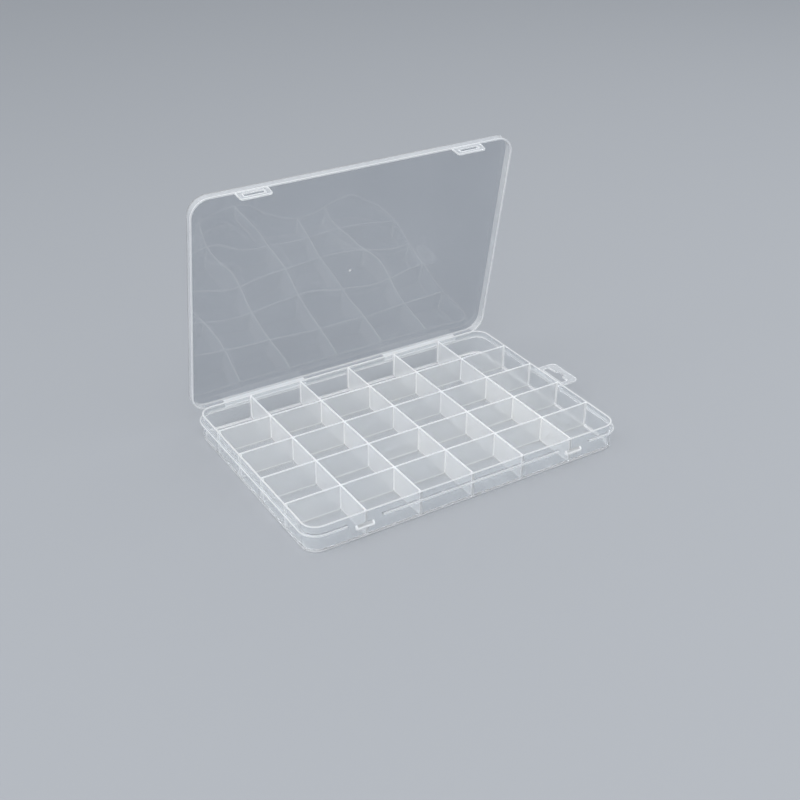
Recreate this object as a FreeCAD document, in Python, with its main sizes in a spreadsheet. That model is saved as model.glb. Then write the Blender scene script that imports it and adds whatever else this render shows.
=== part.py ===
import FreeCAD, Part
import os
import Sketcher

# Clear compartment box with a hinged lid, two snap latches and a hang tab, in millimetres.
# The origin is the middle of the tray's underside: X runs along the length, Y from the
# latches at the front to the hinge at the back, Z up. The lid stands open.

os.makedirs("parts", exist_ok=True)
doc = FreeCAD.newDocument("compartment_box")
sheet = doc.addObject("Spreadsheet::Sheet", "sizes")

driving_sizes = {
    # tray walls and floor
    "tray_length": 272.0,
    "tray_depth": 186.6,
    "tray_height": 22.4,
    "wall_thickness": 1.4,
    "floor_thickness": 1.3,
    "corner_radius": 12.0,
    "base_edge_radius": 1.8,
    "floor_fillet": 2.2,
    "rim_round": 0.4,
    # dividers
    "column_pitch": 45.0,
    "row_pitch": 37.3,
    "divider_thickness": 1.2,
    # ledge round the tray that the lid's lip rests on
    "flange_overhang": 2.2,
    "flange_thickness": 1.3,
    "flange_drop": 5.8,
    "flange_end_round": 1.6,
    # lid
    "lid_thickness": 1.2,
    "lid_rim_gap": 0.2,
    "lid_overlap": 0.8,
    "lid_edge_radius": 1.0,
    "lid_open_angle": 80.0,
    "gate_radius": 1.1,
    "gate_height": 0.4,
    # hinge folds
    "hinge_length": 73.0,
    "hinge_end_gap": 13.0,
    "hinge_offset": 1.3,
    "bead_radius": 0.8,
    "hinge_clearance": 0.3,
    "seat_thickness": 0.6,
    # latches and the catches that they snap over
    "latch_inset": 44.0,
    "latch_width": 26.2,
    "latch_drop": 10.4,
    "latch_taper": 0.6,
    "latch_corner_radius": 2.0,
    "latch_root_gap": 0.2,
    "latch_side_gap": 0.9,
    "window_width": 16.5,
    "window_height": 3.6,
    "window_drop": 3.2,
    "catch_bite": 0.7,
    "catch_nose": 0.8,
    "catch_side_gap": 0.75,
    "catch_gap": 0.35,
    "catch_round": 1.5,
    # hang tab
    "tab_length": 34.0,
    "tab_reach": 21.0,
    "tab_corner_radius": 5.0,
    "hole_length": 25.0,
    "hole_width": 6.8,
    "hole_inset": 5.7,
    "hole_bump_length": 9.0,
    "hole_bump_width": 3.0,
    "hole_round": 1.2,
}
for row, (name, value) in enumerate(driving_sizes.items(), start=1):
    sheet.set("A%d" % row, name)
    sheet.set("B%d" % row, str(value))
    sheet.setAlias("B%d" % row, name)
doc.recompute()

# Sizes that follow from the driving ones, as expressions.
half_length = "(sizes.tray_length / 2)"
half_depth = "(sizes.tray_depth / 2)"
inner_half_length = "(sizes.tray_length / 2 - sizes.wall_thickness)"
inner_half_depth = "(sizes.tray_depth / 2 - sizes.wall_thickness)"
half_divider = "(sizes.divider_thickness / 2)"
flange_top = "(sizes.tray_height - sizes.flange_drop)"
flange_half_length = "(sizes.tray_length / 2 + sizes.flange_overhang)"
flange_half_depth = "(sizes.tray_depth / 2 + sizes.flange_overhang)"
flange_radius = "(sizes.corner_radius + sizes.flange_overhang)"
hinge_y = "(sizes.tray_depth / 2 + sizes.flange_overhang + sizes.hinge_offset)"
lid_front = "(sizes.tray_depth + 2 * sizes.flange_overhang + sizes.hinge_offset + sizes.lid_overlap)"
lid_half_length = "(sizes.tray_length / 2 + sizes.flange_overhang + sizes.lid_overlap)"
lid_radius = "(sizes.corner_radius + sizes.flange_overhang + sizes.lid_overlap)"
lid_inside = "(sizes.flange_drop + sizes.lid_rim_gap)"
lid_height = "(sizes.flange_drop + sizes.lid_rim_gap + sizes.lid_thickness)"
latch_root = "(sizes.latch_root_gap + sizes.lid_thickness / 2)"
latch_centre = "(sizes.tray_length / 2 - sizes.latch_inset)"
hinge_end = "(sizes.tray_length / 2 - sizes.corner_radius - sizes.hinge_end_gap)"


def size_of(expression):
    """Present value of an expression, used as the first guess of a sketch."""
    return float(sheet.evalExpression(expression))


def new_sketch(body, name, role, offset):
    """Sketch on one of the body's own planes, moved along that plane's normal."""
    sketch = body.newObject("Sketcher::SketchObject", name)
    plane = [item for item in body.Origin.OriginFeatures if item.Role == role][0]
    sketch.AttachmentSupport = [(plane, "")]
    sketch.MapMode = "FlatFace"
    sketch.setExpression("AttachmentOffset.Base.z", offset)
    return sketch


def pin(sketch, curve, end, across, up):
    """Hold one end of a sketch curve at a place given by two expressions."""
    for kind, axis, expression in (("DistanceX", -2, across), ("DistanceY", -1, up)):
        value = size_of(expression)
        if abs(value) < 1e-9:
            sketch.addConstraint(Sketcher.Constraint("PointOnObject", curve, end, axis))
            continue
        if value > 0:
            rule = Sketcher.Constraint(kind, -1, 1, curve, end, value)
        else:
            rule = Sketcher.Constraint(kind, curve, end, -1, 1, -value)
            expression = "-(%s)" % expression
        index = sketch.addConstraint(rule)
        sketch.setExpression("Constraints[%d]" % index, expression)


def polygon(sketch, corners):
    """Closed outline through corners, each a pair of expressions."""
    first = sketch.GeometryCount
    count = len(corners)
    points = [FreeCAD.Vector(size_of(across), size_of(up), 0) for across, up in corners]
    for index in range(count):
        line = Part.LineSegment(points[index], points[(index + 1) % count])
        sketch.addGeometry(line, False)
    for index in range(count):
        following = first + (index + 1) % count
        sketch.addConstraint(Sketcher.Constraint("Coincident", first + index, 2, following, 1))
        pin(sketch, first + index, 1, *corners[index])


def rectangle(sketch, left, right, bottom, top):
    """Closed rectangle between four expressions."""
    polygon(sketch, [(left, bottom), (right, bottom), (right, top), (left, top)])


def circle(sketch, across, up, radius):
    """Full circle with its centre and radius given as expressions."""
    centre = FreeCAD.Vector(size_of(across), size_of(up), 0)
    curve = sketch.addGeometry(Part.Circle(centre, FreeCAD.Vector(0, 0, 1), size_of(radius)), False)
    pin(sketch, curve, 3, across, up)
    index = sketch.addConstraint(Sketcher.Constraint("Radius", curve, size_of(radius)))
    sketch.setExpression("Constraints[%d]" % index, radius)


def rounded_rectangle(sketch, left, right, bottom, top, radius):
    """Closed rectangle between four expressions, with equal rounded corners."""
    first = sketch.GeometryCount
    x_low, x_high, y_low, y_high = [size_of(edge) for edge in (left, right, bottom, top)]
    round_size = size_of(radius)
    centres = [
        (x_high - round_size, y_low + round_size),
        (x_high - round_size, y_high - round_size),
        (x_low + round_size, y_high - round_size),
        (x_low + round_size, y_low + round_size),
    ]
    quarter = 1.5707963267948966
    arcs = []
    for index, (across, up) in enumerate(centres):
        ring = Part.Circle(FreeCAD.Vector(across, up, 0), FreeCAD.Vector(0, 0, 1), round_size)
        arcs.append(Part.ArcOfCircle(ring, (index - 1) * quarter, index * quarter))
    for index in range(4):
        sketch.addGeometry(Part.LineSegment(arcs[index - 1].EndPoint, arcs[index].StartPoint), False)
        sketch.addGeometry(arcs[index], False)
    for index in range(8):
        following = first + (index + 1) % 8
        sketch.addConstraint(Sketcher.Constraint("Tangent", first + index, 2, following, 1))
    for line, direction in ((0, "Horizontal"), (2, "Vertical"), (4, "Horizontal"), (6, "Vertical")):
        sketch.addConstraint(Sketcher.Constraint(direction, first + line))
    for arc in (3, 5, 7):
        sketch.addConstraint(Sketcher.Constraint("Equal", first + 1, first + arc))
    index = sketch.addConstraint(Sketcher.Constraint("Radius", first + 1, round_size))
    sketch.setExpression("Constraints[%d]" % index, radius)
    upright = ((2, "DistanceX", right), (6, "DistanceX", left))
    flat = ((0, "DistanceY", bottom), (4, "DistanceY", top))
    for line, kind, expression in upright + flat:
        value = size_of(expression)
        if value > 0:
            rule = Sketcher.Constraint(kind, -1, 1, first + line, 1, value)
        else:
            rule = Sketcher.Constraint(kind, first + line, 1, -1, 1, -value)
            expression = "-(%s)" % expression
        index = sketch.addConstraint(rule)
        sketch.setExpression("Constraints[%d]" % index, expression)


def pad(body, name, sketch, length, backwards=False):
    """Solid raised from a sketch."""
    feature = body.newObject("PartDesign::Pad", name)
    feature.Profile = sketch
    feature.setExpression("Length", length)
    feature.Reversed = backwards
    doc.recompute()
    return feature


def pocket(body, name, sketch, length, backwards=False):
    """Hollow sunk from a sketch, checked to have taken something away."""
    before = body.Shape.Volume
    feature = body.newObject("PartDesign::Pocket", name)
    feature.Profile = sketch
    feature.setExpression("Length", length)
    feature.Reversed = backwards
    doc.recompute()
    if body.Shape.Volume > before - 0.1:
        raise RuntimeError(name + " cuts nothing")
    return feature


def fillet(body, name, base, radius, chosen):
    """Rounding of the base feature's edges for which chosen(edge) is true."""
    names = []
    for index, edge in enumerate(base.Shape.Edges, start=1):
        if chosen(edge):
            names.append("Edge%d" % index)
    feature = body.newObject("PartDesign::Fillet", name)
    feature.Base = (base, names)
    feature.setExpression("Radius", radius)
    doc.recompute()
    return feature


def level(edge, height):
    """True when the whole edge lies at one height."""
    box = edge.BoundBox
    return abs(box.ZMin - height) < 1e-4 and abs(box.ZMax - height) < 1e-4


def upright_at(edge, across):
    """True for an edge parallel to Z at one distance along X."""
    box = edge.BoundBox
    parallel = box.ZLength > 1e-3 and box.XLength < 1e-4 and box.YLength < 1e-4
    return parallel and abs(box.XMin - across) < 1e-4


def new_body(name, across="0", along="0", up="0"):
    """Empty body for one piece, standing at a place given by expressions."""
    body = doc.addObject("PartDesign::Body", name)
    body.Label = name
    body.setExpression("Placement.Base.x", across)
    body.setExpression("Placement.Base.y", along)
    body.setExpression("Placement.Base.z", up)
    pieces.append(body)
    return body


def new_lid_body(name):
    """Empty body drawn as if the lid were shut, with its origin on the hinge line."""
    body = new_body(name, "0", hinge_y, flange_top)
    body.Placement = FreeCAD.Placement(
        FreeCAD.Vector(0, 0, 0), FreeCAD.Rotation(FreeCAD.Vector(-1, 0, 0), size_of("sizes.lid_open_angle"))
    )
    body.setExpression("Placement.Rotation.Angle", "sizes.lid_open_angle * 1 deg")
    return body


pieces = []
columns = 6
rows = 5

# Tray: floor, walls and the ledge outside the walls, open at the two latches.
tray = new_body("tray_shell")
outline = new_sketch(tray, "tray_outline", "XY_Plane", "0")
rounded_rectangle(
    outline,
    "-" + half_length,
    half_length,
    "-" + half_depth,
    half_depth,
    "sizes.corner_radius",
)
block = pad(tray, "tray_block", outline, "sizes.tray_height")
block = fillet(tray, "tray_base_edge", block, "sizes.base_edge_radius", lambda edge: level(edge, 0))
inside = new_sketch(tray, "tray_inside", "XY_Plane", "sizes.tray_height")
rounded_rectangle(
    inside,
    "-" + inner_half_length,
    inner_half_length,
    "-" + inner_half_depth,
    inner_half_depth,
    "sizes.corner_radius - sizes.wall_thickness",
)
hollow = pocket(tray, "tray_hollow", inside, "sizes.tray_height - sizes.floor_thickness")
floor_level = size_of("sizes.floor_thickness")
hollow = fillet(tray, "tray_floor_edge", hollow, "sizes.floor_fillet", lambda edge: level(edge, floor_level))
ledge = new_sketch(tray, "flange_outline", "XY_Plane", flange_top + " - sizes.flange_thickness")
rounded_rectangle(
    ledge,
    "-" + flange_half_length,
    flange_half_length,
    "-" + flange_half_depth,
    flange_half_depth,
    flange_radius,
)
rounded_rectangle(
    ledge,
    "-(" + half_length + " - sizes.wall_thickness / 2)",
    half_length + " - sizes.wall_thickness / 2",
    "-(" + half_depth + " - sizes.wall_thickness / 2)",
    half_depth + " - sizes.wall_thickness / 2",
    "sizes.corner_radius - sizes.wall_thickness / 2",
)
flange = pad(tray, "flange", ledge, "sizes.flange_thickness")
gaps = new_sketch(tray, "latch_gaps", "XY_Plane", flange_top)
gap_half = "(sizes.latch_width / 2 + sizes.latch_side_gap)"
for side in ("-", ""):
    rectangle(
        gaps,
        "%s%s - %s" % (side, latch_centre, gap_half),
        "%s%s + %s" % (side, latch_centre, gap_half),
        "-(" + flange_half_depth + " + 1)",
        "-" + half_depth,
    )
flange = pocket(tray, "flange_gaps", gaps, "sizes.flange_thickness")
gap_ends = []
for side in (-1, 1):
    for end in (-1, 1):
        gap_ends.append(side * size_of(latch_centre) + end * size_of(gap_half))
front_edge = -size_of(flange_half_depth)


def gap_corner(edge):
    """True for the ledge's outer corners beside a latch."""
    at_front = abs(edge.BoundBox.YMin - front_edge) < 1e-4
    return at_front and any(upright_at(edge, place) for place in gap_ends)


flange = fillet(tray, "flange_ends", flange, "sizes.flange_end_round", gap_corner)
rim_level = size_of("sizes.tray_height")
fillet(tray, "tray_rim", flange, "sizes.rim_round", lambda edge: level(edge, rim_level))


def divider(name, role, ends, square_ends, across, along):
    """Upright plate from floor to rim, cut off below where it meets a rounded outer wall."""
    body = new_body(name, across, along)
    profile = new_sketch(body, name + "_profile", role, "-" + half_divider)
    left, right = ends
    corners = []
    if square_ends[0]:
        corners.append((left, "sizes.floor_thickness"))
    else:
        corners.append((left, "sizes.floor_thickness + sizes.floor_fillet"))
        corners.append((left + " + sizes.floor_fillet", "sizes.floor_thickness"))
    if square_ends[1]:
        corners.append((right, "sizes.floor_thickness"))
    else:
        corners.append((right + " - sizes.floor_fillet", "sizes.floor_thickness"))
        corners.append((right, "sizes.floor_thickness + sizes.floor_fillet"))
    corners.append((right, "sizes.tray_height"))
    corners.append((left, "sizes.tray_height"))
    polygon(profile, corners)
    plate = pad(body, name + "_plate", profile, "sizes.divider_thickness")
    long_side = max(plate.Shape.BoundBox.XLength, plate.Shape.BoundBox.YLength)
    fillet(
        body,
        name + "_top",
        plate,
        "sizes.rim_round",
        lambda edge: level(edge, rim_level) and abs(edge.Length - long_side) < 1e-4,
    )


# Long dividers run from the front wall to the back wall.
for number in range(1, columns):
    place = "%g * sizes.column_pitch" % (number - columns / 2)
    ends = ("-" + inner_half_depth, inner_half_depth)
    divider("long_divider_%d" % number, "YZ_Plane", ends, (False, False), place, "0")

# Cross dividers stand between the long ones, and between the outer ones and the end walls.
for column in range(1, columns + 1):
    centre = "(%g * sizes.column_pitch)" % (column - (columns + 1) / 2)
    left = "-(sizes.column_pitch / 2 - %s)" % half_divider
    right = "(sizes.column_pitch / 2 - %s)" % half_divider
    if column == 1:
        left = "-(%s + %s)" % (inner_half_length, centre)
    if column == columns:
        right = "(%s - %s)" % (inner_half_length, centre)
    for row in range(1, rows):
        place = "%g * sizes.row_pitch" % (row - rows / 2)
        name = "cross_divider_%d_%d" % (column, row)
        divider(name, "XZ_Plane", (left, right), (column > 1, column < columns), centre, place)

# Catches: wedges on the front wall, flat below, sloping above so that the latch rides over.
catch_low = "(%s - sizes.window_drop - sizes.window_height + sizes.catch_gap)" % flange_top
catch_high = "(%s - sizes.window_drop - sizes.catch_gap)" % flange_top
catch_width = "(sizes.window_width - 2 * sizes.catch_side_gap)"
catch_reach = "(sizes.flange_overhang + sizes.lid_overlap - sizes.lid_thickness + sizes.catch_bite)"
for name, side in (("left", "-"), ("right", "")):
    catch = new_body("catch_" + name, side + latch_centre, "-" + half_depth)
    profile = new_sketch(catch, "catch_profile_" + name, "YZ_Plane", "-%s / 2" % catch_width)
    polygon(
        profile,
        [
            ("0", catch_low),
            ("0", catch_high),
            ("-" + catch_reach, catch_low + " + sizes.catch_nose"),
            ("-" + catch_reach, catch_low),
        ],
    )
    wedge = pad(catch, "catch_wedge_" + name, profile, catch_width)
    nose = -size_of(catch_reach)
    half_width = size_of(catch_width) / 2
    fillet(
        catch,
        "catch_nose_" + name,
        wedge,
        "sizes.catch_round",
        lambda edge: abs(edge.BoundBox.YMax - nose) < 1e-4
        and (upright_at(edge, half_width) or upright_at(edge, -half_width)),
    )

# Hang tab: plate on the right end of the ledge, with a slot for a display hook.
tab = new_body("hang_tab", flange_half_length, "0", flange_top + " - sizes.flange_thickness")
outline = new_sketch(tab, "tab_outline", "XY_Plane", "0")
rectangle(outline, "0", "sizes.tab_reach", "-sizes.tab_length / 2", "sizes.tab_length / 2")
plate = pad(tab, "tab_plate", outline, "sizes.flange_thickness")
outer_end = size_of("sizes.tab_reach")
fillet(tab, "tab_corners", plate, "sizes.tab_corner_radius", lambda edge: upright_at(edge, outer_end))
slot = new_sketch(tab, "tab_slot", "XY_Plane", "sizes.flange_thickness")
slot_end = "sizes.hole_inset + sizes.hole_width"
bump_end = "sizes.hole_inset + sizes.hole_width + sizes.hole_bump_width"
polygon(
    slot,
    [
        ("sizes.hole_inset", "-sizes.hole_length / 2"),
        (slot_end, "-sizes.hole_length / 2"),
        (slot_end, "-sizes.hole_bump_length / 2"),
        (bump_end, "-sizes.hole_bump_length / 2"),
        (bump_end, "sizes.hole_bump_length / 2"),
        (slot_end, "sizes.hole_bump_length / 2"),
        (slot_end, "sizes.hole_length / 2"),
        ("sizes.hole_inset", "sizes.hole_length / 2"),
    ],
)
plate = pocket(tab, "tab_hole", slot, "sizes.flange_thickness")
slot_lines = [size_of(place) for place in ("sizes.hole_inset", slot_end, bump_end)]
fillet(
    tab,
    "tab_hole_corners",
    plate,
    "sizes.hole_round",
    lambda edge: any(upright_at(edge, place) for place in slot_lines),
)

# Hinge folds: a round bead on the lid's lip turns in a hollow seat on the tray's ledge.
seat_radius = "(sizes.bead_radius + sizes.hinge_clearance)"
for name, start in (("left", "-" + hinge_end), ("right", hinge_end + " - sizes.hinge_length")):
    seat = new_body("tray_hinge_" + name, "0", hinge_y, flange_top)
    profile = new_sketch(seat, "seat_profile_" + name, "YZ_Plane", start)
    rectangle(
        profile,
        "-sizes.hinge_offset",
        "-sizes.hinge_clearance",
        "-(%s + sizes.seat_thickness)" % seat_radius,
        "0",
    )
    pad(seat, "seat_block_" + name, profile, "sizes.hinge_length")
    groove = new_sketch(seat, "seat_groove_" + name, "YZ_Plane", start)
    circle(groove, "0", "0", seat_radius)
    pocket(seat, "seat_hollow_" + name, groove, "sizes.hinge_length", True)

    fold = new_lid_body("lid_hinge_" + name)
    profile = new_sketch(fold, "bead_profile_" + name, "YZ_Plane", start)
    circle(profile, "0", "0", "sizes.bead_radius")
    pad(fold, "bead_" + name, profile, "sizes.hinge_length")
    web = new_sketch(fold, "web_profile_" + name, "YZ_Plane", start)
    rectangle(web, "-sizes.hinge_offset", "0", "sizes.hinge_clearance", "sizes.bead_radius")
    pad(fold, "web_" + name, web, "sizes.hinge_length")

# Lid: shallow cover with a skirt whose lip rests on the ledge, and the mark of its moulding gate.
lid = new_lid_body("lid_shell")
outline = new_sketch(lid, "lid_outline", "XY_Plane", "0")
rounded_rectangle(
    outline,
    "-" + lid_half_length,
    lid_half_length,
    "-" + lid_front,
    "-sizes.hinge_offset",
    lid_radius,
)
cover = pad(lid, "lid_block", outline, lid_height)
top_level = size_of(lid_height)
cover = fillet(lid, "lid_outer_edge", cover, "sizes.lid_edge_radius", lambda edge: level(edge, top_level))
inside = new_sketch(lid, "lid_inside", "XY_Plane", "0")
rounded_rectangle(
    inside,
    "-(" + lid_half_length + " - sizes.lid_thickness)",
    lid_half_length + " - sizes.lid_thickness",
    "-(" + lid_front + " - sizes.lid_thickness)",
    "-(sizes.hinge_offset + sizes.lid_thickness)",
    lid_radius + " - sizes.lid_thickness",
)
cover = pocket(lid, "lid_hollow", inside, lid_inside, True)
inside_level = size_of(lid_inside)
cover = fillet(lid, "lid_inner_edge", cover, "sizes.lid_edge_radius / 2", lambda edge: level(edge, inside_level))
gate = new_sketch(lid, "gate_outline", "XY_Plane", lid_height)
circle(gate, "0", "-(%s + sizes.hinge_offset) / 2" % lid_front, "sizes.gate_radius")
pad(lid, "gate_mark", gate, "sizes.gate_height")

# Latches: tabs below the lid's front lip, each with a window for its catch and a round root.
for name, side in (("left", "-"), ("right", "")):
    centre = side + latch_centre
    latch = new_lid_body("latch_" + name)
    front = new_sketch(latch, "latch_outline_" + name, "XZ_Plane", lid_front + " - sizes.lid_thickness")
    half_root = "sizes.latch_width / 2"
    half_tip = "(sizes.latch_width / 2 - sizes.latch_taper)"
    polygon(
        front,
        [
            (centre + " - " + half_root, "-" + latch_root),
            (centre + " - " + half_tip, "-sizes.latch_drop"),
            (centre + " + " + half_tip, "-sizes.latch_drop"),
            (centre + " + " + half_root, "-" + latch_root),
        ],
    )
    plate = pad(latch, "latch_plate_" + name, front, "sizes.lid_thickness")
    tip_level = -size_of("sizes.latch_drop")
    thickness = size_of("sizes.lid_thickness")
    plate = fillet(
        latch,
        "latch_corners_" + name,
        plate,
        "sizes.latch_corner_radius",
        lambda edge: edge.BoundBox.XLength < 1e-4
        and abs(edge.BoundBox.YLength - thickness) < 1e-4
        and abs(edge.BoundBox.ZMax - tip_level) < 1e-4,
    )
    window = new_sketch(latch, "latch_window_" + name, "XZ_Plane", lid_front)
    rectangle(
        window,
        centre + " - sizes.window_width / 2",
        centre + " + sizes.window_width / 2",
        "-(sizes.window_drop + sizes.window_height)",
        "-sizes.window_drop",
    )
    pocket(latch, "latch_hole_" + name, window, "sizes.lid_thickness")
    root = new_sketch(latch, "latch_root_" + name, "YZ_Plane", centre + " - " + half_root)
    circle(root, "-(%s - sizes.lid_thickness / 2)" % lid_front, "-" + latch_root, "sizes.lid_thickness / 2")
    pad(latch, "latch_bead_" + name, root, "sizes.latch_width")

doc.recompute()
for item in doc.Objects:
    if "Invalid" in item.State or "Error" in item.State:
        raise RuntimeError(item.Name + " did not build")
for piece in pieces:
    if piece.Shape.isNull() or not piece.Shape.isValid() or len(piece.Shape.Solids) != 1:
        raise RuntimeError(piece.Label + " is not one sound solid")
    piece.Shape.exportStep("parts/%s.step" % piece.Label)
print("pieces", len(pieces))
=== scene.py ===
import math

import bpy
import bmesh
from mathutils import Matrix, Vector


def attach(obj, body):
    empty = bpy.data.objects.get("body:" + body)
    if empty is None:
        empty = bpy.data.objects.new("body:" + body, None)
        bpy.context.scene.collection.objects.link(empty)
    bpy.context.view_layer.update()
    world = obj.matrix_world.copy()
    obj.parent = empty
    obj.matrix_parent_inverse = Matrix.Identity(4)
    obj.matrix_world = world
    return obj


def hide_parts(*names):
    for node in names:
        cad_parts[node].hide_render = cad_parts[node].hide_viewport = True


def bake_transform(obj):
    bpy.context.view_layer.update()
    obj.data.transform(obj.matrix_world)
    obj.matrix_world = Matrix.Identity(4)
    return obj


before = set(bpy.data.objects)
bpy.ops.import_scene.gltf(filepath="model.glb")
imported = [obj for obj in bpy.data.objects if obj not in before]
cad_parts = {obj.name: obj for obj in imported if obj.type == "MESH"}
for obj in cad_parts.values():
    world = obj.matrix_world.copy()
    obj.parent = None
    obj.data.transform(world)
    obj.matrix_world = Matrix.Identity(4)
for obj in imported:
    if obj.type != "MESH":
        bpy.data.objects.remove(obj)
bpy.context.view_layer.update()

# Studio: a plain pale floor under a large soft key light at the front left, a weaker one
# on the right, and an even sky. The floor is a light grey, so that white edges still show.
scene = bpy.context.scene
scene.view_settings.view_transform = "Standard"

# Light passes many clear plates before it reaches the floor, so the paths are long.
scene.cycles.max_bounces = 28
scene.cycles.transmission_bounces = 28
scene.cycles.transparent_max_bounces = 40

floor_mesh = bpy.data.meshes.new("floor")
floor_reach = 40.0
# A hair below the tray, so that its flat underside and the floor don't share a plane.
floor_level = -0.0002
floor_mesh.from_pydata(
    [
        (-floor_reach, -floor_reach, floor_level),
        (floor_reach, -floor_reach, floor_level),
        (floor_reach, floor_reach, floor_level),
        (-floor_reach, floor_reach, floor_level),
    ],
    [],
    [(0, 1, 2, 3)],
)
floor = bpy.data.objects.new("floor", floor_mesh)
scene.collection.objects.link(floor)
floor_paint = bpy.data.materials.new("floor_paint")
floor_paint.use_nodes = True
floor_shader = floor_paint.node_tree.nodes["Principled BSDF"]
floor_shader.inputs["Base Color"].default_value = (0.44, 0.455, 0.48, 1.0)
floor_shader.inputs["Roughness"].default_value = 0.55
floor_mesh.materials.append(floor_paint)

sky = bpy.data.worlds.new("even_sky")
scene.world = sky
sky.use_nodes = True
sky_light = sky.node_tree.nodes["Background"]
sky_light.inputs["Color"].default_value = (0.86, 0.91, 0.97, 1.0)
sky_light.inputs["Strength"].default_value = 0.55


def soft_lamp(name, place, side, power):
    """A square soft box at place that looks at the middle of the part."""
    light = bpy.data.lights.new(name, "AREA")
    light.size = side
    light.energy = power
    lamp = bpy.data.objects.new(name, light)
    scene.collection.objects.link(lamp)
    lamp.location = place
    lamp.rotation_mode = "QUATERNION"
    aim = Vector((0.0, 0.0, 0.05))
    lamp.rotation_quaternion = (aim - Vector(place)).to_track_quat("-Z", "Y")


soft_lamp("key_lamp", place=(-1.4, -0.6, 1.25), side=2.9, power=30.0)
soft_lamp("right_lamp", place=(1.0, -0.2, 1.6), side=1.8, power=13.0)

# Camera: fitted to the photograph, a long lens from the front left, about 30 degrees up.
# The three directions are the camera's own axes in the part's frame.
camera_data = bpy.data.cameras.new("camera")
camera_data.sensor_width = 36.0
camera_data.lens = 55.212
camera = bpy.data.objects.new("camera", camera_data)
scene.collection.objects.link(camera)
camera_right = Vector((0.85144, -0.52442, 0.00492))
camera_up = Vector((0.26309, 0.43523, 0.86102))
camera_back = Vector((-0.45368, -0.73181, 0.50854))
camera.matrix_world = Matrix((camera_right, camera_up, camera_back)).transposed().to_4x4()
camera.location = (-0.43652, -0.69481, 0.52153)
scene.camera = camera

# Tray shell: floor, four walls with round corners and the ledge that the lid rests on, one
# injection moulding of clear polypropylene. It is clear on its faces. Its edges are painted
# white, partly the plastic's own scatter and partly painted light: the glow of light that runs
# along the wall and comes out again there.
wall_half_length = 0.136
wall_half_depth = 0.0933
wall_corner = 0.012
rim_level = 0.0224
rim_white_start = rim_level - 0.0009
rim_white_full = rim_level - 0.0004
ledge_low = 0.0153
ledge_high = 0.0166
tray_floor_level = 0.0013
tray_milkiness = 0.07


def moulding_flow_group():
    """Fine streaks from the melt's flow and a wider haze, as masks and as a bump height."""
    group = bpy.data.node_groups.new("moulding_flow", "ShaderNodeTree")
    sockets = group.interface
    sockets.new_socket("Streak Vector", in_out="INPUT", socket_type="NodeSocketVector")
    sockets.new_socket("Haze Vector", in_out="INPUT", socket_type="NodeSocketVector")
    sockets.new_socket("Fineness", in_out="INPUT", socket_type="NodeSocketFloat")
    sockets.new_socket("Streaks", in_out="OUTPUT", socket_type="NodeSocketFloat")
    sockets.new_socket("Haze", in_out="OUTPUT", socket_type="NodeSocketFloat")
    sockets.new_socket("Height", in_out="OUTPUT", socket_type="NodeSocketFloat")
    given = group.nodes.new("NodeGroupInput")
    result = group.nodes.new("NodeGroupOutput")
    streaks = group.nodes.new("ShaderNodeTexNoise")
    streaks.inputs["Scale"].default_value = 1.0
    streaks.inputs["Roughness"].default_value = 0.62
    haze = group.nodes.new("ShaderNodeTexNoise")
    haze.inputs["Scale"].default_value = 1.0
    for noise in (streaks, haze):
        group.links.new(given.outputs["Fineness"], noise.inputs["Detail"])
    group.links.new(given.outputs["Streak Vector"], streaks.inputs["Vector"])
    group.links.new(given.outputs["Haze Vector"], haze.inputs["Vector"])
    for noise, name in ((streaks, "Streaks"), (haze, "Haze")):
        spread = group.nodes.new("ShaderNodeMapRange")
        spread.inputs["From Min"].default_value = 0.3
        spread.inputs["From Max"].default_value = 0.7
        group.links.new(noise.outputs["Fac"], spread.inputs["Value"])
        group.links.new(spread.outputs["Result"], result.inputs[name])

    # The height is the haze with a share of the streaks on top.
    streak_share = 0.35
    height = group.nodes.new("ShaderNodeMath")
    height.operation = "MULTIPLY_ADD"
    height.inputs[1].default_value = streak_share
    group.links.new(streaks.outputs["Fac"], height.inputs[0])
    group.links.new(haze.outputs["Fac"], height.inputs[2])
    group.links.new(height.outputs["Value"], result.inputs["Height"])
    return group


moulding_flow = moulding_flow_group()


def reckon(tree, operation, first, second=None, third=None):
    """The output of a Math node on sockets or plain numbers."""
    node = tree.nodes.new("ShaderNodeMath")
    node.operation = operation
    for slot_number, given in enumerate((first, second, third)):
        if given is None:
            continue
        if isinstance(given, (int, float)):
            node.inputs[slot_number].default_value = given
        else:
            tree.links.new(given, node.inputs[slot_number])
    return node.outputs["Value"]


def fade(tree, value, start, end, low=0.0, high=1.0):
    """A smooth step from low at start to high at end."""
    node = tree.nodes.new("ShaderNodeMapRange")
    node.interpolation_type = "SMOOTHSTEP"
    tree.links.new(value, node.inputs["Value"])
    node.inputs["From Min"].default_value = min(start, end)
    node.inputs["From Max"].default_value = max(start, end)
    node.inputs["To Min"].default_value = low if start < end else high
    node.inputs["To Max"].default_value = high if start < end else low
    return node.outputs["Result"]


def distance(tree, across, along):
    """How far a point is that lies so far across and so far along."""
    squares = [reckon(tree, "POWER", part, 2.0) for part in (across, along)]
    return reckon(tree, "SQRT", reckon(tree, "ADD", *squares))


def beyond_outline(tree, x, y, half_x, half_y, corner):
    """How far a point is outside a rectangle with round corners, less than 0 inside it."""
    over_x = reckon(tree, "SUBTRACT", reckon(tree, "ABSOLUTE", x), half_x - corner)
    over_y = reckon(tree, "SUBTRACT", reckon(tree, "ABSOLUTE", y), half_y - corner)
    past_x = reckon(tree, "MAXIMUM", over_x, 0.0)
    past_y = reckon(tree, "MAXIMUM", over_y, 0.0)
    outer = distance(tree, past_x, past_y)
    inner = reckon(tree, "MINIMUM", reckon(tree, "MAXIMUM", over_x, over_y), 0.0)
    return reckon(tree, "SUBTRACT", reckon(tree, "ADD", outer, inner), corner)


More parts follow.
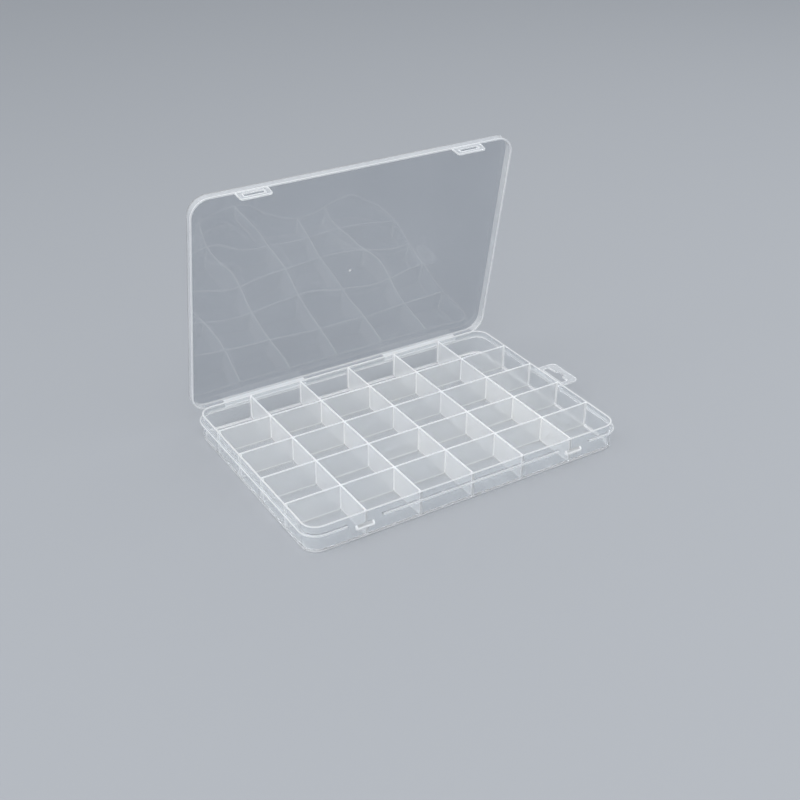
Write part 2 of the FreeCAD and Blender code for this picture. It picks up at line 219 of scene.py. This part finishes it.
def clear_plastic(
    name,
    tint,
    streak_scale,
    haze_scale=16.0,
    roughness=(0.05, 0.15),
    bump=0.00002,
    ior=1.49,
    fineness=4.0,
):
    """Clear polypropylene: a glass-like shader and a milky one, to be mixed by whiten(). The
    milky one is the plastic's haze and painted light.
    """
    material = bpy.data.materials.new(name)
    material.use_nodes = True
    tree = material.node_tree
    place = tree.nodes.new("ShaderNodeTexCoord")
    streak_map = tree.nodes.new("ShaderNodeMapping")
    streak_map.inputs["Scale"].default_value = streak_scale
    haze_map = tree.nodes.new("ShaderNodeMapping")
    haze_map.inputs["Scale"].default_value = (haze_scale, haze_scale, haze_scale)
    tree.links.new(place.outputs["Object"], streak_map.inputs["Vector"])
    tree.links.new(place.outputs["Object"], haze_map.inputs["Vector"])
    flow = tree.nodes.new("ShaderNodeGroup")
    flow.node_tree = moulding_flow
    flow.inputs["Fineness"].default_value = fineness
    tree.links.new(streak_map.outputs["Vector"], flow.inputs["Streak Vector"])
    tree.links.new(haze_map.outputs["Vector"], flow.inputs["Haze Vector"])
    relief = tree.nodes.new("ShaderNodeBump")
    relief.inputs["Strength"].default_value = 1.0
    relief.inputs["Distance"].default_value = bump
    tree.links.new(flow.outputs["Height"], relief.inputs["Height"])

    clear = tree.nodes["Principled BSDF"]
    clear.inputs["IOR"].default_value = ior
    clear.inputs["Transmission Weight"].default_value = 0.95
    # The milky shader's near-white colour is both the plastic's haze and painted light: the
    # glow of light piped out at edges.
    milky_glow = tree.nodes.new("ShaderNodeBsdfPrincipled")
    milky_glow.inputs["IOR"].default_value = 1.49

    # Haze takes both colours from a slightly darker one to the full one. The Mix node's
    # sockets go by number: 0 is the factor, 6 and 7 the colours, 2 the mixed colour.
    hazy = 0.965
    clear_tint = (tuple(hazy * part for part in tint) + (1.0,), tuple(tint) + (1.0,))
    milky_glow_tint = ((0.93, 0.945, 0.965, 1.0), (0.985, 0.99, 0.99, 1.0))
    milky_roughness = (0.28, 0.42)
    for shader, (first, second), ends in (
        (clear, clear_tint, roughness),
        (milky_glow, milky_glow_tint, milky_roughness),
    ):
        colour = tree.nodes.new("ShaderNodeMix")
        colour.data_type = "RGBA"
        colour.inputs[6].default_value = first
        colour.inputs[7].default_value = second
        tree.links.new(flow.outputs["Haze"], colour.inputs[0])
        tree.links.new(colour.outputs[2], shader.inputs["Base Color"])
        tree.links.new(relief.outputs["Normal"], shader.inputs["Normal"])
        rough = fade(tree, flow.outputs["Streaks"], 0.0, 1.0, *ends)
        tree.links.new(rough, shader.inputs["Roughness"])
    return material, tree, place.outputs["Object"], clear, milky_glow


def whiten(tree, clear, milky_glow, share, shade=0.87):
    """Mixes the milky shader over the clear one by share, and lets lamp light through. Above
    the plastic's own haze, the share is painted light.

    The shade is what one face leaves of a lamp's light.
    """
    tree.nodes.active = clear
    both = tree.nodes.new("ShaderNodeMixShader")
    tree.links.new(share, both.inputs["Fac"])
    tree.links.new(clear.outputs["BSDF"], both.inputs[1])
    tree.links.new(milky_glow.outputs["BSDF"], both.inputs[2])
    through = tree.nodes.new("ShaderNodeBsdfTransparent")
    through.inputs["Color"].default_value = (shade, shade, shade, 1.0)
    ray = tree.nodes.new("ShaderNodeLightPath")
    lit = tree.nodes.new("ShaderNodeMixShader")
    tree.links.new(ray.outputs["Is Shadow Ray"], lit.inputs["Fac"])
    tree.links.new(both.outputs["Shader"], lit.inputs[1])
    tree.links.new(through.outputs["BSDF"], lit.inputs[2])
    tree.links.new(lit.outputs["Shader"], tree.nodes["Material Output"].inputs["Surface"])


def axes_of(tree, vector):
    """The three parts of a place."""
    parts = tree.nodes.new("ShaderNodeSeparateXYZ")
    tree.links.new(vector, parts.inputs["Vector"])
    return parts.outputs["X"], parts.outputs["Y"], parts.outputs["Z"]


def wear(node_name, material):
    """Gives a CAD node its finish."""
    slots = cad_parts[node_name].data.materials
    slots.clear()
    slots.append(material)


tray_plastic, tree, place, clear, milky_glow = clear_plastic(
    "tray_plastic",
    tint=(0.93, 0.95, 0.97),
    streak_scale=(22.0, 480.0, 480.0),
    roughness=(0.01, 0.03),
    bump=0.000001,
)
x, y, z = axes_of(tree, place)
beyond_wall = beyond_outline(tree, x, y, wall_half_length, wall_half_depth, wall_corner)
# Painted light: the rim and the ledge's edge are painted white where piped light comes out.
rim = fade(tree, z, rim_white_start, rim_white_full, high=0.66)
at_ledge = reckon(
    tree,
    "MULTIPLY",
    fade(tree, z, ledge_low - 0.0003, ledge_low + 0.0001),
    fade(tree, z, ledge_high + 0.0003, ledge_high - 0.0001),
)
ledge_edge = fade(tree, beyond_wall, 0.0014, 0.0020, low=0.03, high=0.7)
# Along the back, where it carries the hinge folds, the ledge is white right across.
ledge_back = fade(tree, y, wall_half_depth - 0.0006, wall_half_depth + 0.0004, high=0.5)
ledge_white = reckon(tree, "MAXIMUM", ledge_edge, ledge_back)
ledge = reckon(tree, "MULTIPLY", at_ledge, ledge_white)
# Painted light: the foot of the wall is painted white, where the base edge would otherwise lie
# in shade.
near_wall = fade(tree, beyond_wall, -0.0042, -0.0012)
foot = reckon(tree, "MULTIPLY", near_wall, fade(tree, z, 0.0022, 0.0012, high=0.75))
tray_floor = fade(tree, z, tray_floor_level + 0.0012, tray_floor_level + 0.0002, high=0.02)
upper_share = reckon(tree, "ADD", rim, ledge)
lower_share = reckon(tree, "ADD", foot, tray_floor)
share = reckon(tree, "ADD", upper_share, lower_share)
whiten(tree, clear, milky_glow, reckon(tree, "ADD", share, tray_milkiness))
wear("tray_shell", tray_plastic)

# Dividers: five long plates from front to back and 24 short ones between them, moulded with
# the tray in the same clear plastic. Their top edges, feet and corners are painted white like
# the rim, partly the plastic's scatter and partly painted light piped out there.
column_pitch = 0.045
row_pitch = 0.0373
long_divider_end = 0.0919
cross_divider_end = 0.1346
# Over the plastic's haze, the long plates' faces get a larger share than the short ones':
# painted light from the key lamp on the left, which they face.
for kind, streak_scale, haze_and_painted_light in (
    ("long_divider", (480.0, 22.0, 480.0), 0.42),
    ("cross_divider", (22.0, 480.0, 480.0), 0.30),
):
    divider_plastic, tree, place, clear, milky_glow = clear_plastic(
        kind + "_plastic", tint=(0.93, 0.95, 0.97), streak_scale=streak_scale
    )
    x, y, z = axes_of(tree, place)
    top_edge = fade(tree, z, rim_white_start, rim_white_full, high=0.6)
    foot = fade(tree, z, tray_floor_level + 0.0012, tray_floor_level + 0.0003, high=0.4)
    if kind == "long_divider":
        from_row = reckon(tree, "SUBTRACT", y, row_pitch / 2)
        to_corner = reckon(tree, "PINGPONG", from_row, row_pitch / 2)
        to_end = reckon(tree, "SUBTRACT", long_divider_end, reckon(tree, "ABSOLUTE", y))
    else:
        to_corner = reckon(tree, "PINGPONG", x, column_pitch / 2)
        to_end = reckon(tree, "SUBTRACT", cross_divider_end, reckon(tree, "ABSOLUTE", x))
    corner = fade(tree, to_corner, 0.0015, 0.0006, high=0.5)
    end = fade(tree, to_end, 0.0022, 0.0012, high=0.6)
    level_edges = reckon(tree, "MAXIMUM", top_edge, foot)
    upright_edges = reckon(tree, "MAXIMUM", corner, end)
    share = reckon(tree, "MAXIMUM", level_edges, upright_edges)
    whiten(tree, clear, milky_glow, reckon(tree, "ADD", share, haze_and_painted_light))
    for node_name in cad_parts:
        if node_name.startswith(kind):
            wear(node_name, divider_plastic)

# Corner fillets: the small radius that the mould leaves along the foot of every plate and up
# every inside corner of the 30 compartments, in the tray's own plastic. It is painted white,
# whiter up the corners than along the floor: painted light for the light that gathers in it.
columns = 6
rows = 5
fillet_radius = 0.0006
fillet_bite = 0.0003
plate_thickness = 0.0012
inside_corner = 0.0106
post_top = rim_level - 0.0006
arc_points = 6
bend_points = 5
wall_margin = 0.002


def fillet_grid():
    """A fillet round the floor of each compartment of a grid and up each of its corners."""
    tree = bpy.data.node_groups.new("fillet_grid", "GeometryNodeTree")
    for name in ("Columns", "Rows"):
        tree.interface.new_socket(name, in_out="INPUT", socket_type="NodeSocketInt")
    for name in (
        "Column Pitch",
        "Row Pitch",
        "Plate",
        "Radius",
        "Bite",
        "Half Length",
        "Half Depth",
        "Tray Corner",
        "Floor Level",
        "Top Level",
    ):
        tree.interface.new_socket(name, in_out="INPUT", socket_type="NodeSocketFloat")
    tree.interface.new_socket("Plastic", in_out="INPUT", socket_type="NodeSocketMaterial")
    tree.interface.new_socket("Fillets", in_out="OUTPUT", socket_type="NodeSocketGeometry")
    given = tree.nodes.new("NodeGroupInput").outputs
    result = tree.nodes.new("NodeGroupOutput")

    def made(kind, output, **inputs):
        """A node with its inputs linked or set, and the output that is used."""
        node = tree.nodes.new(kind)
        for name, value in inputs.items():
            socket = node.inputs[name.replace("_", " ")]
            if isinstance(value, bpy.types.NodeSocket):
                tree.links.new(value, socket)
            else:
                socket.default_value = value
        return node.outputs[output]

    # The fillet's section: a point inside the corner of two plates, and an arc between them.
    number = made("GeometryNodeInputIndex", "Index")
    on_arc = reckon(tree, "MINIMUM", number, 1.0)
    arc_step = math.pi / 2 / (arc_points - 1)
    turn = reckon(tree, "MULTIPLY", reckon(tree, "SUBTRACT", number, 1.0), arc_step)
    section_place = tree.nodes.new("ShaderNodeCombineXYZ")
    for axis, wave in (("X", "SINE"), ("Y", "COSINE")):
        swing = reckon(tree, "SUBTRACT", 1.0, reckon(tree, wave, turn))
        out = reckon(tree, "MULTIPLY_ADD", swing, given["Radius"], given["Bite"])
        from_bite = reckon(tree, "MULTIPLY", on_arc, out)
        from_corner = reckon(tree, "SUBTRACT", from_bite, given["Bite"])
        tree.links.new(from_corner, section_place.inputs[axis])
    points = made("GeometryNodeMeshLine", "Mesh", Count=arc_points + 1)
    bent = made(
        "GeometryNodeSetPosition",
        "Geometry",
        Geometry=points,
        Position=section_place.outputs["Vector"],
    )
    open_section = made("GeometryNodeMeshToCurve", "Curve", Mesh=bent)
    section = made(
        "GeometryNodeSetSplineCyclic", "Geometry", Geometry=open_section, Cyclic=True
    )

    # One rectangle for each compartment, with the outer ones drawn to the walls.
    column_steps = reckon(tree, "SUBTRACT", given["Columns"], 1.0)
    row_steps = reckon(tree, "SUBTRACT", given["Rows"], 1.0)
    grid = made(
        "GeometryNodeMeshGrid",
        "Mesh",
        Vertices_X=given["Columns"],
        Vertices_Y=given["Rows"],
        Size_X=reckon(tree, "MULTIPLY", column_steps, given["Column Pitch"]),
        Size_Y=reckon(tree, "MULTIPLY", row_steps, given["Row Pitch"]),
    )
    outline = made(
        "GeometryNodeCurvePrimitiveQuadrilateral",
        "Curve",
        Width=reckon(tree, "SUBTRACT", given["Column Pitch"], given["Plate"]),
        Height=reckon(tree, "SUBTRACT", given["Row Pitch"], given["Plate"]),
    )
    spread = made("GeometryNodeInstanceOnPoints", "Instances", Points=grid, Instance=outline)
    outlines = made("GeometryNodeRealizeInstances", "Geometry", Geometry=spread)
    place = axes_of(tree, made("GeometryNodeInputPosition", "Position"))
    drawn = tree.nodes.new("ShaderNodeCombineXYZ")
    at_walls = []
    for axis, part, limit in (("X", place[0], "Half Length"), ("Y", place[1], "Half Depth")):
        from_middle = reckon(tree, "ABSOLUTE", part)
        inside = reckon(tree, "MINIMUM", from_middle, given[limit])
        signed = reckon(tree, "MULTIPLY", inside, reckon(tree, "SIGN", part))
        tree.links.new(signed, drawn.inputs[axis])
        near_wall = reckon(tree, "SUBTRACT", given[limit], wall_margin)
        at_walls.append(reckon(tree, "GREATER_THAN", from_middle, near_wall))
    tree.links.new(given["Floor Level"], drawn.inputs["Z"])
    cells = made(
        "GeometryNodeSetPosition",
        "Geometry",
        Geometry=outlines,
        Position=drawn.outputs["Vector"],
    )
    tray_corner = reckon(tree, "MULTIPLY", *at_walls)

    # The foot follows each rectangle, and turns the tray's own round corners.
    tray_bend = reckon(tree, "MULTIPLY", tray_corner, given["Tray Corner"])
    bend = reckon(tree, "MAXIMUM", tray_bend, given["Radius"])
    round_cells = tree.nodes.new("GeometryNodeFilletCurve")
    round_cells.mode = "POLY"
    tree.links.new(cells, round_cells.inputs["Curve"])
    tree.links.new(bend, round_cells.inputs["Radius"])
    round_cells.inputs["Count"].default_value = bend_points
    foot_section = made(
        "GeometryNodeTransform", "Geometry", Geometry=section, Rotation=(0.0, 0.0, math.pi)
    )
    feet = made(
        "GeometryNodeCurveToMesh",
        "Mesh",
        Curve=round_cells.outputs["Curve"],
        Profile_Curve=foot_section,
    )

    # A post stands in every corner but the tray's own four.
    fill = tree.nodes.new("GeometryNodeFillCurve")
    fill.mode = "NGONS"
    tree.links.new(section, fill.inputs["Curve"])
    post_height = reckon(tree, "SUBTRACT", given["Top Level"], given["Floor Level"])
    raised = made(
        "GeometryNodeExtrudeMesh",
        "Mesh",
        Mesh=fill.outputs["Mesh"],
        Offset=(0.0, 0.0, 1.0),
        Offset_Scale=post_height,
    )
    bottom = made("GeometryNodeFlipFaces", "Mesh", Mesh=fill.outputs["Mesh"])
    post_parts = tree.nodes.new("GeometryNodeJoinGeometry")
    tree.links.new(raised, post_parts.inputs["Geometry"])
    tree.links.new(bottom, post_parts.inputs["Geometry"])
    post = made(
        "GeometryNodeMergeByDistance",
        "Geometry",
        Geometry=post_parts.outputs["Geometry"],
        Distance=0.00001,
    )

    # Quarter turns from 0 to 3 take the post round the four corners of its compartment.
    sides = []
    for part, pitch, count in (
        (place[0], "Column Pitch", "Columns"),
        (place[1], "Row Pitch", "Rows"),
    ):
        half_count = reckon(tree, "DIVIDE", given[count], 2.0)
        cells_along = reckon(tree, "DIVIDE", part, given[pitch])
        in_cell = reckon(tree, "FRACT", reckon(tree, "ADD", cells_along, half_count))
        sides.append(reckon(tree, "GREATER_THAN", in_cell, 0.5))
    far_turns = reckon(tree, "MULTIPLY_ADD", sides[0], -2.0, 3.0)
    quarter = reckon(tree, "MULTIPLY_ADD", sides[1], far_turns, sides[0])
    post_turn = tree.nodes.new("ShaderNodeCombineXYZ")
    tree.links.new(reckon(tree, "MULTIPLY", quarter, math.pi / 2), post_turn.inputs["Z"])
    posts = made(
        "GeometryNodeInstanceOnPoints",
        "Instances",
        Points=cells,
        Instance=post,
        Selection=reckon(tree, "SUBTRACT", 1.0, tray_corner),
        Rotation=post_turn.outputs["Vector"],
    )

    parts = tree.nodes.new("GeometryNodeJoinGeometry")
    tree.links.new(feet, parts.inputs["Geometry"])
    tree.links.new(posts, parts.inputs["Geometry"])
    real = made("GeometryNodeRealizeInstances", "Geometry", Geometry=parts.outputs["Geometry"])
    finished = made(
        "GeometryNodeSetMaterial", "Geometry", Geometry=real, Material=given["Plastic"]
    )
    tree.links.new(finished, result.inputs["Fillets"])
    return tree


fillet_plastic, tree, place, clear, milky_glow = clear_plastic(
    "fillet_plastic", tint=(0.94, 0.955, 0.97), streak_scale=(60.0, 60.0, 300.0)
)
x, y, z = axes_of(tree, place)
# Painted light: the fillets' white share, lower at the floor, stands in for light that gathers
# in them.
share = fade(
    tree, z, tray_floor_level + 0.0004, tray_floor_level + 0.0012, low=0.3, high=0.72
)
whiten(tree, clear, milky_glow, share, shade=0.95)


def grown(name, tree, values):
    """The plain mesh object that a Geometry Nodes tree makes with these inputs."""
    seed = bpy.data.objects.new(name + "_seed", bpy.data.meshes.new(name + "_seed"))
    scene.collection.objects.link(seed)
    modifier = seed.modifiers.new(name, "NODES")
    modifier.node_group = tree
    for item in tree.interface.items_tree:
        if item.in_out == "INPUT":
            modifier[item.identifier] = values[item.name]
    evaluated = seed.evaluated_get(bpy.context.evaluated_depsgraph_get())
    mesh = bpy.data.meshes.new_from_object(evaluated)
    mesh.name = name
    piece = bpy.data.objects.new(name, mesh)
    scene.collection.objects.link(piece)
    bpy.data.objects.remove(seed)
    return piece


fillets = grown(
    "corner_fillets",
    fillet_grid(),
    {
        "Columns": columns,
        "Rows": rows,
        "Column Pitch": column_pitch,
        "Row Pitch": row_pitch,
        "Plate": plate_thickness,
        "Radius": fillet_radius,
        "Bite": fillet_bite,
        "Half Length": cross_divider_end,
        "Half Depth": long_divider_end,
        "Tray Corner": inside_corner,
        "Floor Level": tray_floor_level,
        "Top Level": post_top,
        "Plastic": fillet_plastic,
    },
)
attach(fillets, "tray")

# Catches: two wedges on the front wall that the latches snap over. Their edges and ends are
# painted whiter than the sloping face: painted light for the light that comes out there.
catch_middle = 0.092
catch_half_width = 0.0075
catch_milkiness = 0.25
catch_plastic, tree, place, clear, milky_glow = clear_plastic(
    "catch_plastic", tint=(0.94, 0.955, 0.97), streak_scale=(60.0, 300.0, 300.0)
)
x, y, z = axes_of(tree, place)
past_middle = reckon(tree, "SUBTRACT", reckon(tree, "ABSOLUTE", x), catch_middle)
from_catch = reckon(tree, "ABSOLUTE", past_middle)
catch_end = fade(
    tree, from_catch, catch_half_width - 0.0022, catch_half_width - 0.0008, high=0.55
)
nose = fade(tree, y, -wall_half_depth - 0.0012, -wall_half_depth - 0.0022, high=0.4)
share = reckon(tree, "MAXIMUM", catch_end, nose)
whiten(tree, clear, milky_glow, reckon(tree, "ADD", share, catch_milkiness))
wear("catch_left", catch_plastic)
wear("catch_right", catch_plastic)

# Hang tab: a thin plate on the right end of the ledge, with a slot for a display hook. Its cut
# edges are painted white, partly the plastic's scatter and partly painted light piped out of
# the plate, and its faces are as clear as the tray.
tab_middle = 0.1487
tab_half_reach = 0.0105
tab_half_length = 0.017
tab_corner = 0.005
slot_middle = 0.1473
slot_half_width = 0.0034
slot_half_length = 0.0125
slot_corner = 0.0012
tab_milkiness = 0.17
tab_plastic, tree, place, clear, milky_glow = clear_plastic(
    "tab_plastic", tint=(0.94, 0.955, 0.97), streak_scale=(300.0, 40.0, 300.0)
)
x, y, z = axes_of(tree, place)
from_tab = reckon(tree, "SUBTRACT", x, tab_middle)
from_slot = reckon(tree, "SUBTRACT", x, slot_middle)
beyond_tab = beyond_outline(tree, from_tab, y, tab_half_reach, tab_half_length, tab_corner)
beyond_slot = beyond_outline(
    tree, from_slot, y, slot_half_width, slot_half_length, slot_corner
)
edge = fade(tree, beyond_tab, -0.0008, -0.0002, high=0.45)
slot_edge = fade(tree, beyond_slot, 0.0008, 0.0002, high=0.45)
share = reckon(tree, "MAXIMUM", edge, slot_edge)
whiten(tree, clear, milky_glow, reckon(tree, "ADD", share, tab_milkiness))
wear("hang_tab", tab_plastic)

# Hinge folds: two thin films that join the ledge and the lid, moulded with them in one shot.
# Each is thinnest at its crease, which has turned white from bending.
hinge_place = Vector((0.0, 0.0968, 0.0166))
lid_open_angle = math.radians(80.0)
fold_near_end = 0.038
fold_far_end = 0.111
fold_level = 0.0003
fold_reach = 0.0017
crease_reach = 0.0009
crease_turns = (-90.0, -65.0, -40.0, -15.0, 10.0)
fold_half_thickness = 0.00025
crease_half_thickness = 0.00016
fold_plastic, tree, place, clear, milky_glow = clear_plastic(
    "fold_plastic", tint=(0.93, 0.95, 0.965), streak_scale=(400.0, 40.0, 40.0)
)
x, y, z = axes_of(tree, place)
behind_crease = reckon(tree, "SUBTRACT", y, hinge_place.y)
above_crease = reckon(tree, "SUBTRACT", z, hinge_place.z)
from_crease = distance(tree, behind_crease, above_crease)
whiten(tree, clear, milky_glow, fade(tree, from_crease, 0.0009, 0.0004, low=0.8, high=0.92))

# The film's middle line, from the ledge round the hinge line to the lid, and its thickness.
fold_line = [
    (-fold_reach, -fold_level, fold_half_thickness),
    (-crease_reach, -fold_level, fold_half_thickness),
]
for turn in crease_turns:
    angle = math.radians(turn)
    out = fold_level * math.cos(angle)
    up = fold_level * math.sin(angle)
    fold_line.append((out, up, crease_half_thickness))
for reach in (crease_reach, fold_reach):
    out = -reach * math.cos(lid_open_angle) + fold_level * math.sin(lid_open_angle)
    up = reach * math.sin(lid_open_angle) + fold_level * math.cos(lid_open_angle)
    fold_line.append((out, up, fold_half_thickness))
lower, upper = [], []
for number, (out, up, half) in enumerate(fold_line):
    before = fold_line[max(number - 1, 0)]
    after = fold_line[min(number + 1, len(fold_line) - 1)]
    run = Vector((after[0] - before[0], after[1] - before[1])).normalized()
    lower.append((out + run.y * half, up - run.x * half))
    upper.append((out - run.y * half, up + run.x * half))
fold_section = lower + upper[::-1]
for name, first, last in (
    ("left", -fold_far_end, -fold_near_end),
    ("right", fold_near_end, fold_far_end),
):
    shape = bmesh.new()
    rings = []
    for along in (first, last):
        ring = []
        for out, up in fold_section:
            ring.append(shape.verts.new((along, hinge_place.y + out, hinge_place.z + up)))
        rings.append(ring)
    for number in range(len(fold_section)):
        after = (number + 1) % len(fold_section)
        shape.faces.new((rings[0][number], rings[0][after], rings[1][after], rings[1][number]))
    shape.faces.new(rings[0][::-1])
    shape.faces.new(rings[1])
    bmesh.ops.recalc_face_normals(shape, faces=shape.faces)
    fold_mesh = bpy.data.meshes.new("hinge_fold_" + name)
    shape.to_mesh(fold_mesh)
    shape.free()
    fold_mesh.materials.append(fold_plastic)
    fold = bpy.data.objects.new("hinge_fold_" + name, fold_mesh)
    scene.collection.objects.link(fold)
    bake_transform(fold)
    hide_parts("tray_hinge_" + name, "lid_hinge_" + name)

# Lid: one thin panel with a skirt around it and the small mark of the moulding gate in its
# middle. The panel is glossy and a little warped, so what it mirrors looks wavy. The back
# of the skirt is white along the hinge folds, and clear at the slots beside them.
lid_half_length = 0.139
lid_half_depth = 0.0959
lid_middle = -0.0972
lid_corner = 0.015
lid_milkiness = 0.04
skirt_share = 0.30
slot_share = 0.08
fold_share = 0.6
fold_end_blend = 0.001
lid_plastic, tree, place, clear, milky_glow = clear_plastic(
    "lid_plastic",
    tint=(0.71, 0.735, 0.77),
    streak_scale=(9.0, 9.0, 9.0),
    haze_scale=14.0,
    roughness=(0.01, 0.02),
    bump=0.0026,
    ior=1.75,
    fineness=0.0,
)


def shut_place(tree, place):
    """Where a place on the lid is, measured from the hinge line with the lid shut."""
    shut = tree.nodes.new("ShaderNodeMapping")
    hinge_offset = -(Matrix.Rotation(lid_open_angle, 3, "X") @ hinge_place)
    shut.inputs["Rotation"].default_value = (lid_open_angle, 0.0, 0.0)
    shut.inputs["Location"].default_value = hinge_offset
    tree.links.new(place, shut.inputs["Vector"])
    return shut.outputs["Vector"]


x, y, z = axes_of(tree, shut_place(tree, place))
from_middle = reckon(tree, "SUBTRACT", y, lid_middle)
beyond_lid = beyond_outline(tree, x, from_middle, lid_half_length, lid_half_depth, lid_corner)
# Painted light: the lip and the skirt are painted whiter than the panel, partly the plastic's
# scatter and partly light piped out at the edges.
lip = fade(tree, z, 0.0009, 0.0004, high=0.55)
to_side = reckon(tree, "ABSOLUTE", x)
past_near_end = fade(
    tree, to_side, fold_near_end - fold_end_blend, fold_near_end + fold_end_blend
)
before_far_end = fade(
    tree, to_side, fold_far_end + fold_end_blend, fold_far_end - fold_end_blend
)
at_fold = reckon(tree, "MULTIPLY", past_near_end, before_far_end)
back_share = reckon(tree, "MULTIPLY_ADD", at_fold, fold_share - slot_share, slot_share)
back_change = reckon(tree, "SUBTRACT", back_share, skirt_share)
near_lip = fade(tree, z, 0.0052, 0.0036)
at_back = reckon(tree, "MULTIPLY", near_lip, fade(tree, y, -0.0036, -0.0029))
side_share = reckon(tree, "MULTIPLY_ADD", at_back, back_change, skirt_share)
skirt = reckon(tree, "MULTIPLY", fade(tree, beyond_lid, -0.0017, -0.0013), side_share)
from_gate = distance(tree, x, from_middle)
gate = fade(tree, from_gate, 0.0016, 0.0008, high=0.7)
share = reckon(tree, "ADD", reckon(tree, "ADD", lip, skirt), gate)
whiten(tree, clear, milky_glow, reckon(tree, "ADD", share, lid_milkiness))
wear("lid_shell", lid_plastic)

# Latches: two tabs on the lid's front lip, each with a window that snaps over its catch.
# They are moulded with the lid. Their cut edges are painted white, partly the plastic's
# scatter and partly painted light piped out of the tab, and their faces are nearly clear.
latch_half_width = 0.0131
latch_half_drop = 0.0051
latch_corner = 0.002
window_half_width = 0.00825
window_half_height = 0.0018
window_corner = 0.0003
window_level = -0.005
latch_milkiness = 0.2
latch_plastic, tree, place, clear, milky_glow = clear_plastic(
    "latch_plastic", tint=(0.93, 0.95, 0.965), streak_scale=(60.0, 300.0, 300.0)
)
x, y, z = axes_of(tree, shut_place(tree, place))
from_centre = reckon(tree, "SUBTRACT", reckon(tree, "ABSOLUTE", x), catch_middle)
from_latch = reckon(tree, "ADD", z, latch_half_drop)
from_window = reckon(tree, "SUBTRACT", z, window_level)
beyond_latch = beyond_outline(
    tree, from_centre, from_latch, latch_half_width, latch_half_drop, latch_corner
)
beyond_window = beyond_outline(
    tree, from_centre, from_window, window_half_width, window_half_height, window_corner
)
edge = fade(tree, beyond_latch, -0.0011, -0.0004, high=0.5)
window_edge = fade(tree, beyond_window, 0.0009, 0.0003, high=0.5)
share = reckon(tree, "MAXIMUM", edge, window_edge)
whiten(tree, clear, milky_glow, reckon(tree, "ADD", share, latch_milkiness))
wear("latch_left", latch_plastic)
wear("latch_right", latch_plastic)
